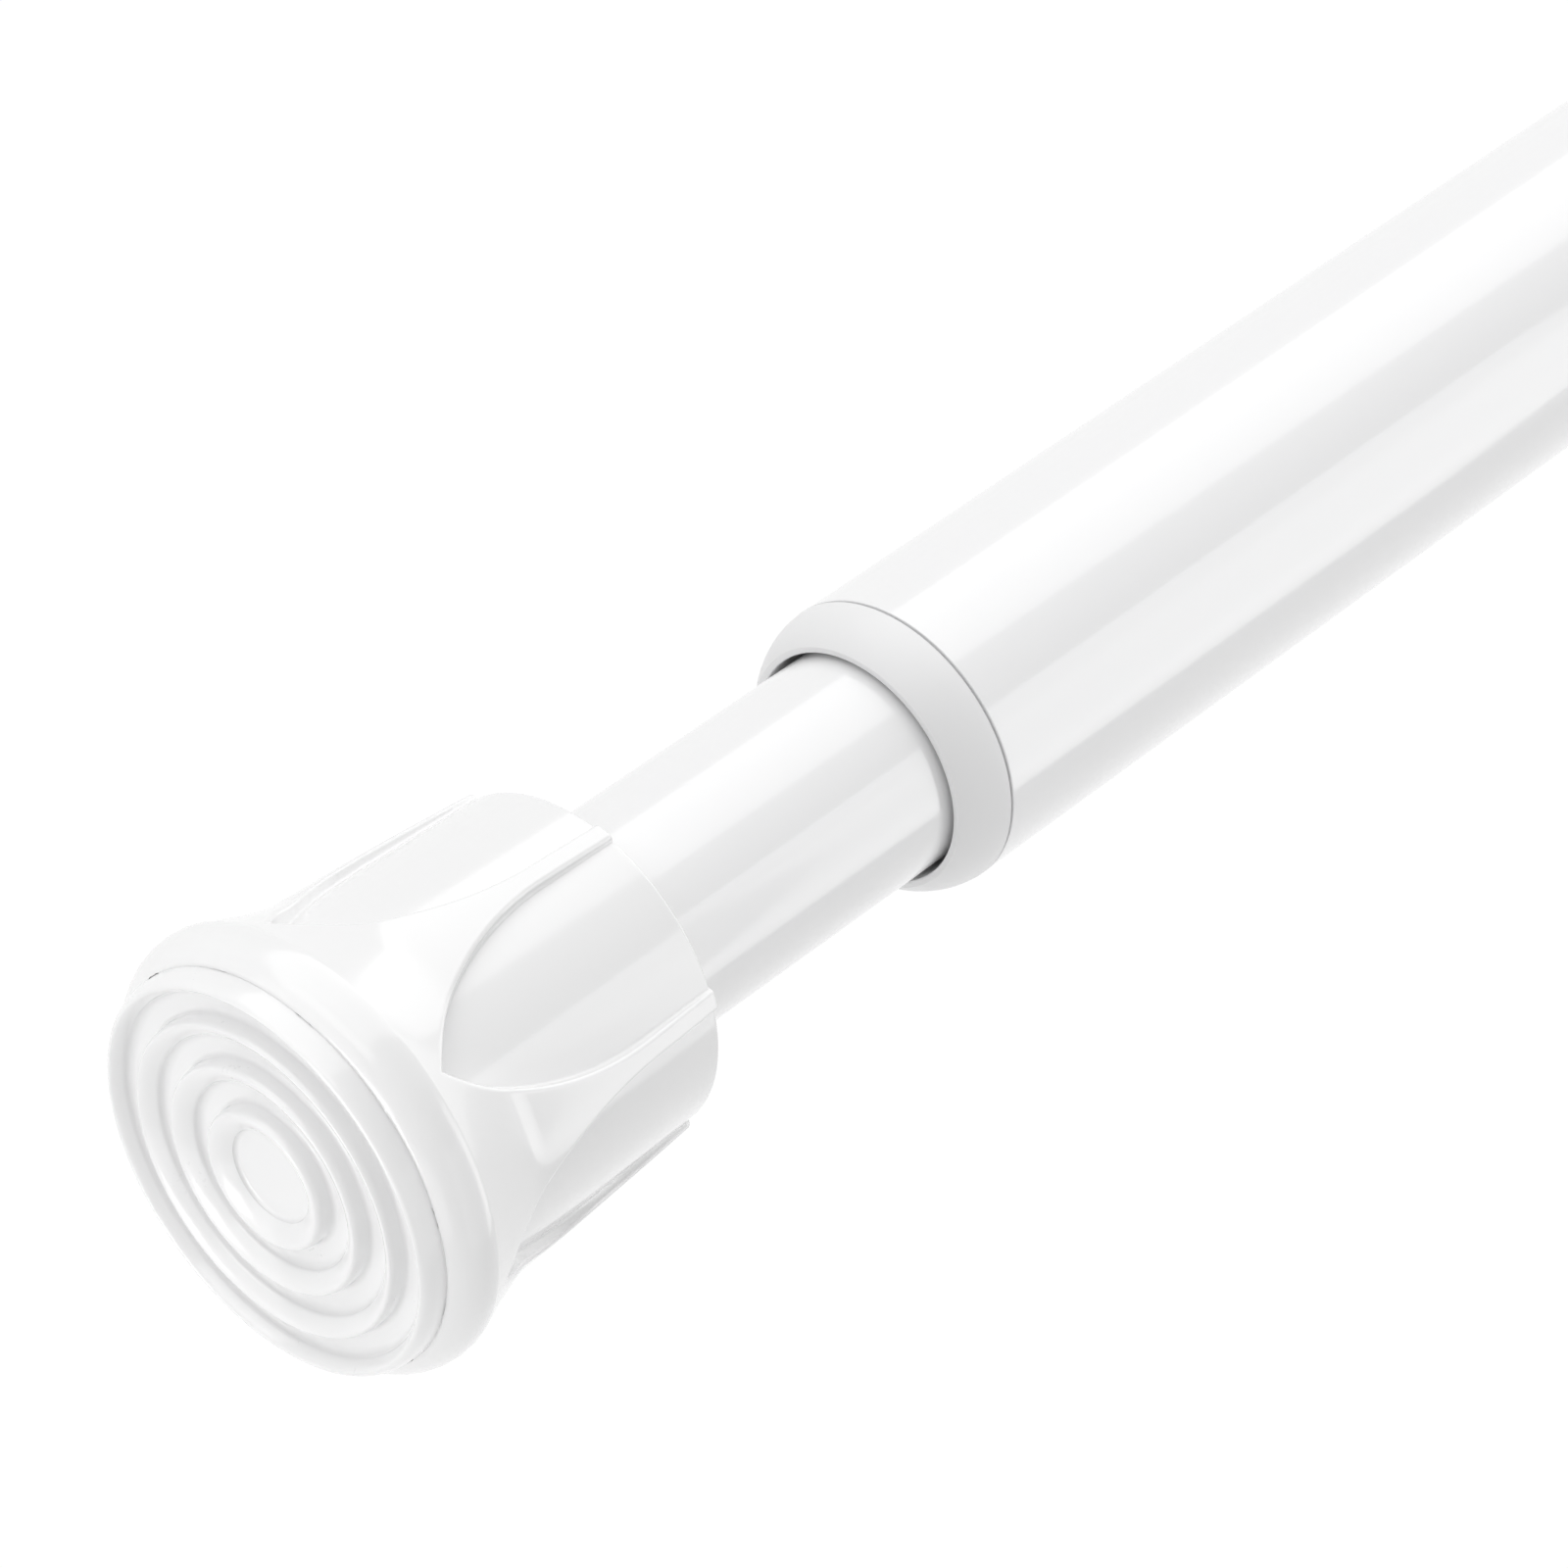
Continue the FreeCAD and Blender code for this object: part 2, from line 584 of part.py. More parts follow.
def outer_tube():
    """Wide tube from the collar's seam to the far cap's floor, its mouth edge broken."""
    return turn_points([
        (SEAM_X, OUTER_BORE),
        (SEAM_X, OUTER_TUBE_R - SEAM_BREAK),
        (SEAM_X + SEAM_BREAK, OUTER_TUBE_R),
        (OUTER_END_X, OUTER_TUBE_R),
        (OUTER_END_X, OUTER_BORE),
    ])


def mouth_collar():
    """Collar pushed into the outer tube: rounded nose outside, guide land inside."""
    plug = OUTER_BORE - SEAT_FIT
    mouth = INNER_TUBE_R + COLLAR_MOUTH_GAP
    land = INNER_TUBE_R + SLIDE_FIT
    nose = (MOUTH_X, mouth + COLLAR_LIP)
    bulge = (MOUTH_X + COLLAR_BULGE_RUN, OUTER_TUBE_R - COLLAR_BULGE_DROP)
    land_x = MOUTH_X + COLLAR_MOUTH_RUN + COLLAR_LEAD_IN
    points = [
        (SEAM_X - SEAM_BREAK, OUTER_TUBE_R),
        (SEAM_X, OUTER_TUBE_R - SEAM_BREAK),
        (SEAM_X, plug),
        (COLLAR_END_X, plug),
        (COLLAR_END_X, land),
        (land_x, land),
        (MOUTH_X + COLLAR_MOUTH_RUN, mouth),
        (MOUTH_X, mouth),
        nose,
    ]
    edges = [line(a, b) for a, b in zip(points, points[1:])]
    edges.append(arc(nose, bulge, points[0]))
    return turn(edges)


def main():
    """Build every piece and write one file for each."""
    pad = foot_pad()
    cap = end_cap()
    pieces = {
        "inner_foot_pad": pad,
        "inner_end_cap": cap,
        "reducer_sleeve": reducer_sleeve(),
        "inner_tube": inner_tube(),
        "spring_seat": spring_seat(),
        "seat_washer": seat_washer(),
        "end_bush": end_bush(),
        "compression_spring": compression_spring(),
        "spring_cup": spring_cup(),
        "cup_screw": screw(CUP_FACE_X - CUP_WEB, 1),
        "lock_spindle": lock_spindle(),
        "drag_ring": drag_ring(),
        "thrust_washer": thrust_washer(),
        "cam_ring": cam_ring(),
        "cam_grip_ring": cam_grip_ring(),
        "retaining_washer": retaining_washer(),
        "retaining_screw": screw(RETAINER_X + RETAINER_THICK, -1),
        "outer_tube": outer_tube(),
        "mouth_collar": mouth_collar(),
        "outer_end_cap": far_end(cap),
        "outer_foot_pad": far_end(pad),
    }
    os.makedirs("parts", exist_ok=True)
    for node, shape in pieces.items():
        shape.exportStep("parts/" + node + ".step")


main()
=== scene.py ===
"""Spring tension rod: dressed pieces, finishes, soft studio light and the camera of the product shot."""
import bisect
import logging
import math
from dataclasses import dataclass, field
from enum import Enum
from typing import Any, Callable, Optional, Sequence, Union

import bpy
from mathutils import Matrix, Vector


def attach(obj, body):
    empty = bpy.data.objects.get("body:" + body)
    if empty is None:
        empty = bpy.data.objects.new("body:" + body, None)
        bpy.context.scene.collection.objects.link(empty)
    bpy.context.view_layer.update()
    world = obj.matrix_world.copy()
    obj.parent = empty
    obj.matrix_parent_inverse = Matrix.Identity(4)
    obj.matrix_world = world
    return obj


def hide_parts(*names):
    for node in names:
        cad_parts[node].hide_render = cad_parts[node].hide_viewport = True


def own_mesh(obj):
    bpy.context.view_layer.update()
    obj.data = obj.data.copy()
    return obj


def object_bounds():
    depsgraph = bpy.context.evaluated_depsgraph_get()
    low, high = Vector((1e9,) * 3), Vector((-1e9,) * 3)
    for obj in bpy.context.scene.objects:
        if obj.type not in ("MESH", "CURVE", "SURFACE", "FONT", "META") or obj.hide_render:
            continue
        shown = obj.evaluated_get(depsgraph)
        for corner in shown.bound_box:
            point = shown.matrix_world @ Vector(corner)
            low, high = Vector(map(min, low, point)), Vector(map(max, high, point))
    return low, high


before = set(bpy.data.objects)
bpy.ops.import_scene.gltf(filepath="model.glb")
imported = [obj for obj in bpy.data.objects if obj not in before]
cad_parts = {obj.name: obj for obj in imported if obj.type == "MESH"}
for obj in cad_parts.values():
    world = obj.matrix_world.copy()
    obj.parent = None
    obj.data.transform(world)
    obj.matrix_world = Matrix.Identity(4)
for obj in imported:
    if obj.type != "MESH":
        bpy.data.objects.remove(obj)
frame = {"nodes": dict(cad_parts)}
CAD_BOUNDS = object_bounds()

LOG = logging.getLogger("tension_rod")
MM = 0.001

SUPPORT_MM = 0.04
ON_AXIS_MM = 1e-6
MERGE_STEPS_PER_MM = 2e4
FULL_WHITE = (1.0, 1.0, 1.0, 1.0)

Triple = tuple[float, float, float]
Point = tuple[float, float]


class End(Enum):
    """Which end of the rod a foot stands on."""

    THIN = "inner"
    WIDE = "outer"


# Shader writing


class Sock:
    """A shader socket whose arithmetic adds Math nodes to its tree."""

    def __init__(self, tree: "Tree", socket: bpy.types.NodeSocket) -> None:
        """Keep the socket and the tree that it belongs to."""
        self.tree = tree
        self.socket = socket

    def math(self, operation: str, *values: Any) -> "Sock":
        """Add one Math node.

        Args:
            operation: The Math node's operation.
            values: Its inputs in order, numbers or sockets.

        Returns:
            The node's output.
        """
        inputs = dict(enumerate(values))
        return self.tree.add("ShaderNodeMath", {"operation": operation}, inputs).out(0)

    def __add__(self, other: Any) -> "Sock":
        """Sum."""
        return self.math("ADD", self, other)

    __radd__ = __add__

    def __sub__(self, other: Any) -> "Sock":
        """Difference."""
        return self.math("SUBTRACT", self, other)

    def __rsub__(self, other: Any) -> "Sock":
        """Reflected difference."""
        return self.math("SUBTRACT", other, self)

    def __mul__(self, other: Any) -> "Sock":
        """Product."""
        return self.math("MULTIPLY", self, other)

    __rmul__ = __mul__

    def __truediv__(self, other: Any) -> "Sock":
        """Quotient."""
        return self.math("DIVIDE", self, other)

    def clamped(self) -> "Sock":
        """The value kept between 0 and 1."""
        return self.math("MINIMUM", self.math("MAXIMUM", self, 0.0), 1.0)


class Added:
    """A node that has just been added, with short ways to its outputs."""

    def __init__(self, tree: "Tree", node: bpy.types.Node) -> None:
        """Keep the node and its tree."""
        self.tree = tree
        self.node = node

    def out(self, key: Union[int, str]) -> Sock:
        """One output of the node, by index or name."""
        return Sock(self.tree, self.node.outputs[key])


class Tree:
    """The node tree of a material or of the world."""

    def __init__(self, owner: Union[bpy.types.Material, bpy.types.World]) -> None:
        """Start with an empty tree.

        Args:
            owner: The material or world that the tree belongs to.
        """
        owner.use_nodes = True
        self.owner = owner
        self.nodes = owner.node_tree.nodes
        self.links = owner.node_tree.links
        self.nodes.clear()

    def add(
        self,
        kind: str,
        settings: Optional[dict[str, Any]] = None,
        inputs: Optional[dict[Union[int, str], Any]] = None,
    ) -> Added:
        """Add a node of any type.

        Args:
            kind: The node's type.
            settings: Its properties, which are set first.
            inputs: Values or links of its sockets, by index or name.

        Returns:
            The added node.
        """
        node = self.nodes.new(kind)
        for key, value in (settings or {}).items():
            setattr(node, key, value)
        for key, value in (inputs or {}).items():
            if isinstance(value, Sock):
                self.links.new(value.socket, node.inputs[key])
            else:
                node.inputs[key].default_value = value
        return Added(self, node)

    def place(self, stretch: Triple = (1.0, 1.0, 1.0)) -> Sock:
        """Object coordinates, stretched along each axis.

        Args:
            stretch: Factor for each axis.

        Returns:
            The stretched coordinates.
        """
        coordinates = self.add("ShaderNodeTexCoord").out("Object")
        settings = {"operation": "MULTIPLY"}
        return self.add("ShaderNodeVectorMath", settings, {0: coordinates, 1: stretch}).out(0)

    def noise(self, place: Sock, scale: float, detail: float = 2.0) -> Sock:
        """Soft noise between 0 and 1.

        Args:
            place: Where to read it.
            scale: Features per metre.
            detail: How many finer layers it has.

        Returns:
            The noise value.
        """
        inputs = {"Vector": place, "Scale": scale, "Detail": detail}
        return self.add("ShaderNodeTexNoise", None, inputs).out(0)

    def tint(self, factor: Sock, low: Triple, high: Triple) -> Sock:
        """Blend of two colours.

        Args:
            factor: 0 gives the low colour and 1 the high one.
            low: First colour.
            high: Second colour.

        Returns:
            The blended colour.
        """
        inputs = {0: factor, 6: (*low, 1.0), 7: (*high, 1.0)}
        return self.add("ShaderNodeMix", {"data_type": "RGBA"}, inputs).out(2)

    def bump(self, height: Sock, distance: float, strength: float) -> Sock:
        """Normal from a height in metres of the given distance."""
        inputs = {"Height": height, "Distance": distance, "Strength": strength}
        return self.add("ShaderNodeBump", None, inputs).out(0)

    def surface(self, inputs: dict[Union[int, str], Any]) -> bpy.types.Material:
        """Close the tree with a Principled surface.

        Args:
            inputs: The surface's sockets.

        Returns:
            The finished material.
        """
        shader = self.add("ShaderNodeBsdfPrincipled", None, inputs).out(0)
        self.add("ShaderNodeOutputMaterial", None, {"Surface": shader})
        return self.owner


# Finishes


@dataclass(frozen=True)
class BakedEnamel:
    """Glossy white enamel on drawn steel tube, with a faint orange peel and draw lines."""

    colour: Triple = (0.885, 0.885, 0.888)
    shade: Triple = (0.868, 0.868, 0.873)
    roughness: float = 0.2
    peel_per_metre: float = 700.0
    draw_stretch: Triple = (14.0, 420.0, 420.0)
    cloud_per_metre: float = 30.0
    bump_depth: float = 0.000008
    bump_strength: float = 0.15

    def material(self, name: str) -> bpy.types.Material:
        """Build the enamel under the given name."""
        tree = Tree(bpy.data.materials.new(name))
        place = tree.place()
        peel = tree.noise(place, self.peel_per_metre, 1.0)
        draw = tree.noise(tree.place(self.draw_stretch), 1.0, 2.0)
        cloud = tree.noise(place, self.cloud_per_metre)
        height = peel * 0.8 + draw * 0.2
        return tree.surface({
            "Base Color": tree.tint((cloud * 0.6 + draw * 0.4).clamped(), self.shade, self.colour),
            "Roughness": self.roughness + (cloud - 0.5) * 0.05 + (draw - 0.5) * 0.03,
            "Coat Weight": 0.6,
            "Coat Roughness": 0.06,
            "Normal": tree.bump(height, self.bump_depth, self.bump_strength),
        })


@dataclass(frozen=True)
class MouldedPlastic:
    """Injection-moulded plastic with faint flow, slight sink and a fine skin."""

    colour: Triple
    shade: Triple
    roughness: float
    skin_per_metre: float = 1400.0
    skin_depth: float = 0.000008
    coat: float = 0.0
    specular: float = 0.5
    flow_stretch: Triple = (60.0, 110.0, 110.0)
    sink_per_metre: float = 120.0
    bump_strength: float = 0.15

    def material(self, name: str) -> bpy.types.Material:
        """Build the plastic under the given name."""
        tree = Tree(bpy.data.materials.new(name))
        place = tree.place()
        skin = tree.noise(place, self.skin_per_metre, 2.0)
        flow = tree.noise(tree.place(self.flow_stretch), 1.0, 3.0)
        sink = tree.noise(place, self.sink_per_metre, 1.0)
        return tree.surface({
            "Base Color": tree.tint((flow * 0.7 + sink * 0.3).clamped(), self.shade, self.colour),
            "Roughness": self.roughness + (flow - 0.5) * 0.08 + (skin - 0.5) * 0.04,
            "Coat Weight": self.coat,
            "Coat Roughness": 0.08,
            "Specular IOR Level": self.specular,
            "Normal": tree.bump(skin * 0.5 + sink * 0.5, self.skin_depth, self.bump_strength),
        })


@dataclass(frozen=True)
class SoftRubber:
    """Soft moulded rubber with a fine eggshell skin and a trace of bloom."""

    colour: Triple
    shade: Triple
    roughness: float = 0.3
    grain_per_metre: float = 2600.0
    coat: float = 0.0
    bloom_per_metre: float = 160.0
    bump_depth: float = 0.000006
    bump_strength: float = 0.3

    def material(self, name: str) -> bpy.types.Material:
        """Build the rubber under the given name."""
        tree = Tree(bpy.data.materials.new(name))
        place = tree.place()
        grain = tree.noise(place, self.grain_per_metre, 2.0)
        bloom = tree.noise(place, self.bloom_per_metre, 3.0)
        return tree.surface({
            "Base Color": tree.tint(bloom, self.shade, self.colour),
            "Roughness": self.roughness + (bloom - 0.5) * 0.1 + (grain - 0.5) * 0.06,
            "Coat Weight": self.coat,
            "Coat Roughness": 0.1,
            "Normal": tree.bump(grain, self.bump_depth, self.bump_strength),
        })


@dataclass(frozen=True)
class BareSteel:
    """Bright steel: drawn wire, or stamped and plated parts with turning marks."""

    colour: Triple
    shade: Triple
    roughness: float
    marks: Triple = (400.0, 400.0, 400.0)
    cloud_per_metre: float = 240.0
    bump_depth: float = 0.000006
    bump_strength: float = 0.3

    def material(self, name: str) -> bpy.types.Material:
        """Build the steel under the given name."""
        tree = Tree(bpy.data.materials.new(name))
        marks = tree.noise(tree.place(self.marks), 1.0, 4.0)
        cloud = tree.noise(tree.place(), self.cloud_per_metre, 2.0)
        return tree.surface({
            "Base Color": tree.tint(cloud, self.shade, self.colour),
            "Metallic": 1.0,
            "Roughness": self.roughness + (marks - 0.5) * 0.14 + (cloud - 0.5) * 0.08,
            "Normal": tree.bump(marks, self.bump_depth, self.bump_strength),
        })


class Finishes:
    """Every finish of the rod, built once."""

    def __init__(self) -> None:
        """Build the materials."""
        white = MouldedPlastic((0.885, 0.885, 0.885), (0.87, 0.87, 0.872), 0.2, coat=0.6)
        satin = MouldedPlastic((0.845, 0.845, 0.848), (0.83, 0.83, 0.834), 0.42, 2000.0, 0.000014)
        natural = MouldedPlastic((0.74, 0.74, 0.71), (0.68, 0.68, 0.65), 0.45)
        grey = MouldedPlastic((0.30, 0.31, 0.32), (0.25, 0.26, 0.27), 0.5)
        mid = MouldedPlastic((0.52, 0.53, 0.54), (0.46, 0.47, 0.48), 0.46)
        self.enamel = BakedEnamel().material("tube_enamel")
        self.cap = white.material("cap_gloss")
        self.collar = satin.material("collar_satin")
        pale = SoftRubber((0.885, 0.885, 0.885), (0.87, 0.87, 0.873), coat=1.0)
        black = SoftRubber((0.035, 0.035, 0.036), (0.02, 0.02, 0.02), 0.6)
        wire = BareSteel((0.60, 0.60, 0.61), (0.50, 0.50, 0.51), 0.28)
        plated = BareSteel((0.72, 0.73, 0.75), (0.62, 0.63, 0.66), 0.24, (90.0, 900.0, 900.0))
        self.pad = pale.material("pad_rubber")
        self.sleeve = natural.material("sleeve_natural")
        self.lock = natural.material("lock_natural")
        self.drag = grey.material("drag_grey")
        self.cam = mid.material("cam_grey")
        self.grip = black.material("grip_rubber")
        self.spring = wire.material("spring_wire")
        self.plated = plated.material("plated_steel")


# Turned and moulded shapes


def quarter(step_deg: int) -> list[float]:
    """Angles of a quarter turn in radians, both ends included."""
    return [math.radians(a) for a in range(0, 91, step_deg)]


def arc_points(a: Point, through: Point, b: Point, count: int) -> list[Point]:
    """Points on the circle through three points, from the first to the last.

    Args:
        a: First point.
        through: A point on the way.
        b: Last point.
        count: How many points to give.

    Returns:
        The points, both ends included.
    """
    ax, ay = a
    bx, by = through
    cx, cy = b
    d = 2 * (ax * (by - cy) + bx * (cy - ay) + cx * (ay - by))
    sa, sb, sc = ax * ax + ay * ay, bx * bx + by * by, cx * cx + cy * cy
    ux = (sa * (by - cy) + sb * (cy - ay) + sc * (ay - by)) / d
    uy = (sa * (cx - bx) + sb * (ax - cx) + sc * (bx - ax)) / d
    radius = math.hypot(ax - ux, ay - uy)
    start = math.atan2(ay - uy, ax - ux)
    middle = math.atan2(by - uy, bx - ux)
    end = math.atan2(cy - uy, cx - ux)
    turn = (end - start) % (2 * math.pi)
    if (middle - start) % (2 * math.pi) > turn:
        turn -= 2 * math.pi
    angles = [start + turn * i / (count - 1) for i in range(count)]
    return [(ux + radius * math.cos(t), uy + radius * math.sin(t)) for t in angles]


def rounded(corners: Sequence[Triple], step_deg: float = 9.0) -> list[Point]:
    """Profile with its corners rounded.

    Args:
        corners: Places (x, r, radius) in order; a radius of 0 keeps the corner sharp.
        step_deg: Turn between two points of a rounding.

    Returns:
        The rounded profile, with a supporting point on each side of every rounding.
    """
    out: list[Point] = []
    for i, (x, r, radius) in enumerate(corners):
        here = Vector((x, r))
        if i in (0, len(corners) - 1) or radius <= 0:
            out.append((x, r))
            continue
        before = Vector(corners[i - 1][:2]) - here
        after = Vector(corners[i + 1][:2]) - here
        turn = before.angle(after)
        bend = math.pi - turn
        reach = min(radius / math.tan(turn / 2), before.length * 0.48, after.length * 0.48)
        radius = reach * math.tan(turn / 2)
        first = here + before.normalized() * reach
        last = here + after.normalized() * reach
        inwards = (before.normalized() + after.normalized()).normalized()
        centre = here + inwards * (radius / math.sin(turn / 2))
        steps = max(2, math.ceil(math.degrees(bend) / step_deg))
        near, far = first - centre, last - centre
        if before.length - reach > 2 * SUPPORT_MM:
            lead = first + before.normalized() * SUPPORT_MM
            out.append((lead.x, lead.y))
        for k in range(steps + 1):
            t = k / steps
            swept = near * math.sin((1 - t) * bend) + far * math.sin(t * bend)
            spot = centre + swept / math.sin(bend)
            out.append((spot.x, spot.y))
        if after.length - reach > 2 * SUPPORT_MM:
            lead = last + after.normalized() * SUPPORT_MM
            out.append((lead.x, lead.y))
    return out


class Shaper:
    """Turns millimetre profiles into mesh objects in the rod's frame."""

    def __init__(self, length_mm: float) -> None:
        """Keep the rod's overall length, which places the far end."""
        self.length_mm = length_mm

    def object(
        self,
        name: str,
        vertices: Sequence[Triple],
        faces: Sequence[Sequence[int]],
        material: bpy.types.Material,
        end: End = End.THIN,
        sharp_deg: float = 32.0,
    ) -> bpy.types.Object:
        """Make a smooth-shaded object.

        Args:
            name: The piece's name.
            vertices: Places in millimetres.
            faces: Corner indices.
            material: The finish.
            end: The end it stands on; the wide end is the thin end turned round.
            sharp_deg: Edges that turn more than this stay sharp.

        Returns:
            The new object.
        """
        mesh = bpy.data.meshes.new(name)
        mesh.from_pydata([(x * MM, y * MM, z * MM) for x, y, z in vertices], [], faces)
        if end is End.WIDE:
            turned = Matrix.Rotation(math.pi, 4, "Z")
            mesh.transform(Matrix.Translation((self.length_mm * MM, 0, 0)) @ turned)
        mesh.validate()
        mesh.polygons.foreach_set("use_smooth", [True] * len(mesh.polygons))
        mesh.set_sharp_from_angle(angle=math.radians(sharp_deg))
        mesh.materials.append(material)
        mesh.update()
        piece = bpy.data.objects.new(name, mesh)
        bpy.context.scene.collection.objects.link(piece)
        return piece

    def lathe(
        self,
        name: str,
        profile: Sequence[Point],
        material: bpy.types.Material,
        end: End = End.THIN,
        segments: int = 256,
        closed: bool = True,
    ) -> bpy.types.Object:
        """Turn a profile about the rod's axis.

        Args:
            name: The piece's name.
            profile: Places (x, r) in millimetres.
            material: The finish.
            end: The end it stands on.
            segments: Faces round the circle.
            closed: Whether the last place joins the first.

        Returns:
            The turned object.
        """
        vertices: list[Triple] = []
        rows: list[list[int]] = []
        for x, r in profile:
            if r < ON_AXIS_MM:
                rows.append([len(vertices)] * segments)
                vertices.append((x, 0.0, 0.0))
                continue
            rows.append(list(range(len(vertices), len(vertices) + segments)))
            for k in range(segments):
                angle = 2 * math.pi * k / segments
                vertices.append((x, r * math.cos(angle), r * math.sin(angle)))
        pairs = list(zip(rows, rows[1:])) + ([(rows[-1], rows[0])] if closed else [])
        faces = []
        for low, high in pairs:
            for k in range(segments):
                n = (k + 1) % segments
                corners = list(dict.fromkeys([low[k], high[k], high[n], low[n]]))
                if len(corners) > 2:
                    faces.append(corners)
        return self.object(name, vertices, faces, material, end)


# The feet


@dataclass
class CapShape:
    """Millimetre sizes of the end cap."""

    lip_x: float = 2.1
    length: float = 31.6
    recess_x: float = 4.1
    socket_x: float = 6.3
    socket_r: float = 12.75
    stem_hole_r: float = 3.1
    end_r: float = 15.2
    shoulder_r: float = 16.43
    shoulder_x: float = 13.7
    rim_r: float = 18.799
    rim_arc_r: float = 3.3
    recess_r: float = 16.95
    crease_run: float = 0.7
    neck_sag: float = 0.09
    lip_round: float = 0.17
    crown: float = 0.115
    foot_run: float = 2.1
    foot_rise: float = 0.31
    foot_sag: float = 0.09
    end_round: float = 0.3
    panel_count: int = 6
    first_panel_deg: float = 72.5
    panel_half_deg: float = 26.8
    panel_tip_x: float = 7.4
    panel_spring_x: float = 26.3
    panel_ref_r: float = 15.7
    floor_end_r: float = 14.72
    floor_draft: float = 0.032
    edge_round: float = 0.34
    floor_round: float = 0.25
    socket_edge: tuple[Point, ...] = ((0.0, 0.25), (-0.08, 0.08), (-0.25, 0.0))
    lip_edge: tuple[Point, ...] = ((0.2, 0.0), (0.1, 0.02), (0.03, 0.08))
    closest_rows: float = 0.002
    end_clear: float = 0.05


@dataclass
class PadShape:
    """Millimetre sizes of the foot pad."""

    radius: float = 16.94
    back_x: float = 4.1
    disc_r: float = 3.97
    disc_x: float = 1.36
    floor_x: float = 1.75
    step_x: float = 1.03
    beads: int = 4
    floor_width: float = 2.06
    first_width: float = 2.02
    taper: float = 0.22
    crest_x: float = 0.1
    crest_share: float = 0.78
    flank_power: float = 1.6
    shoulder_x: float = 0.95
    last_crest_share: float = 0.5
    last_shoulder_x: float = 1.72
    cove_r: float = 0.68
    foot_round: float = 0.5
    draft: float = 0.04
    stem_r: float = 3.05
    stem_end_x: float = 9.2
    barb_x: float = 6.4
    barb_r: float = 3.85
    nose_r: float = 2.05


